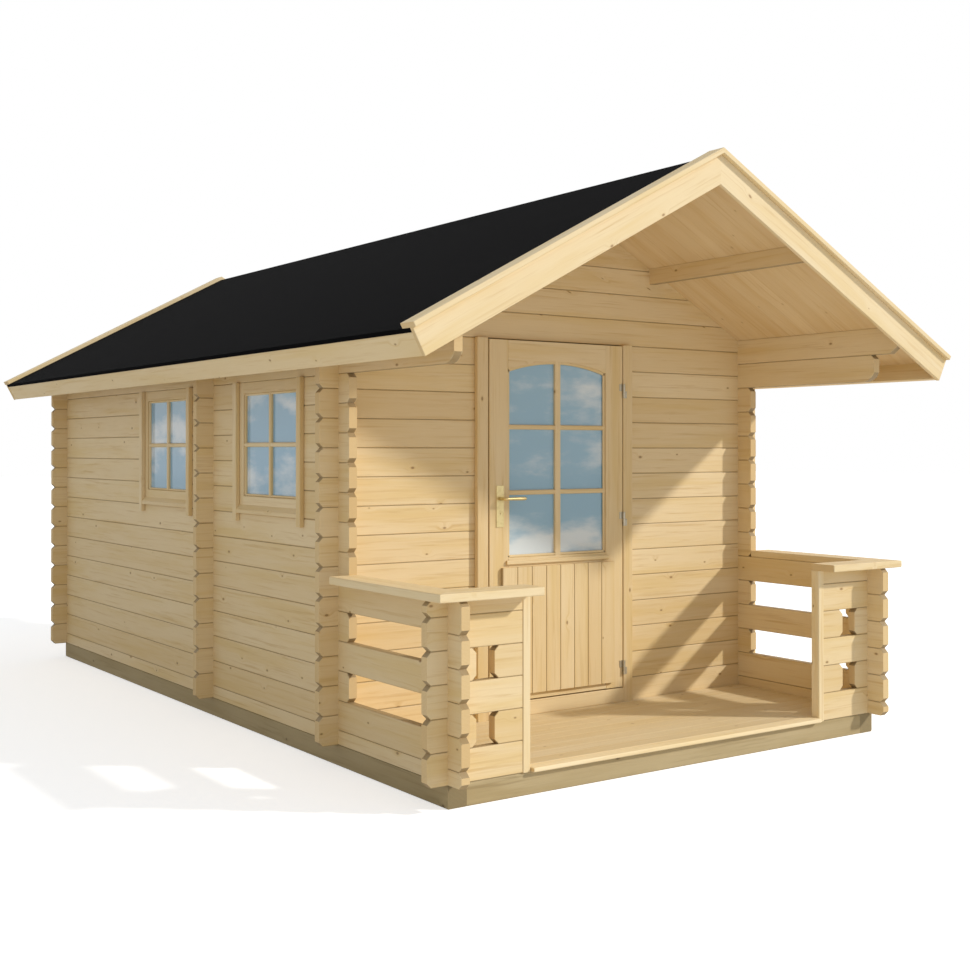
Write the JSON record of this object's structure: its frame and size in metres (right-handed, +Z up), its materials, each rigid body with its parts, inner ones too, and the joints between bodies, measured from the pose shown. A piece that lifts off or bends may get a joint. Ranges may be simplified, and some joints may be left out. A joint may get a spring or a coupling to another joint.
{
  "type": "garden sauna",
  "caption": "Log-built garden sauna with two rooms, a railed porch under a gabled felt roof, a glazed boarded door and small windows in one side.",
  "frame": {"origin": "on the ground under the middle of the roof's outline", "axes": "+Z up; the porch and its door look along -Y; X runs across the cabin, with the two windows in the wall on the -X side"},
  "size_m": [3.18, 5.401, 2.7325],
  "materials": {
    "wall_wood": "planed softwood, untreated",
    "porch_wood": "planed softwood, untreated, paler",
    "base_wood": "pressure treated, grey brown",
    "felt": "matt roofing felt",
    "glass": "clear",
    "fitting": "pale brass coloured, satin",
    "hinge_metal": "zinc plated"
  },
  "bodies": {
    "cabin": {"base_side_timbers": "base_wood", "base_cross_timbers": "base_wood", "porch_floor": "porch_wood", "room_floors": "porch_wood", "left_wall": "wall_wood", "right_wall": "wall_wood", "left_eaves_logs": "wall_wood", "right_eaves_logs": "wall_wood", "rear_wall": "wall_wood", "front_wall_left": "wall_wood", "front_wall_right": "wall_wood", "front_gable": "wall_wood", "partition_left": "wall_wood", "partition_right": "wall_wood", "partition_gable": "wall_wood", "left_side_rail": "porch_wood", "right_side_rail": "porch_wood", "left_front_rail": "porch_wood", "right_front_rail": "porch_wood", "entrance_posts": "porch_wood", "left_handrail": "porch_wood", "right_handrail": "porch_wood", "ridge_purlin": "wall_wood", "side_purlins": "wall_wood", "left_roof_boards": "porch_wood", "right_roof_boards": "porch_wood", "roofing_felt": "felt", "front_barge_boards": "porch_wood", "rear_barge_boards": "porch_wood", "front_cover_boards": "porch_wood", "rear_cover_boards": "porch_wood", "eaves_boards": "porch_wood", "window_frames": "wall_wood", "window_casings": "wall_wood", "window_glass": "glass", "door_frame": "porch_wood", "door_casings": "porch_wood", "door_sill": "porch_wood", "hinge_pins": "hinge_metal"},
    "door": {"door_leaf": "porch_wood", "door_panel": "porch_wood", "door_glass": "glass", "hinge_barrels": "hinge_metal", "lock_plates": "fitting"},
    "lever": {"door_lever": "fitting"}
  },
  "joints": [
    {"name": "door_hinge", "type": "hinge", "parent": "cabin", "child": "door", "pos_m": [0.37425, -1.6045, 1.057], "axis": [0, 0, 1], "range_deg": [0, 160]},
    {"name": "door_lever", "type": "hinge", "parent": "door", "child": "lever", "pos_m": [-0.41, -1.6445, 1.1795], "axis": [0, 1, 0], "range_deg": [0, 38], "stiffness_Nm_per_rad": 2, "springref_deg": -20.05}
  ]
}
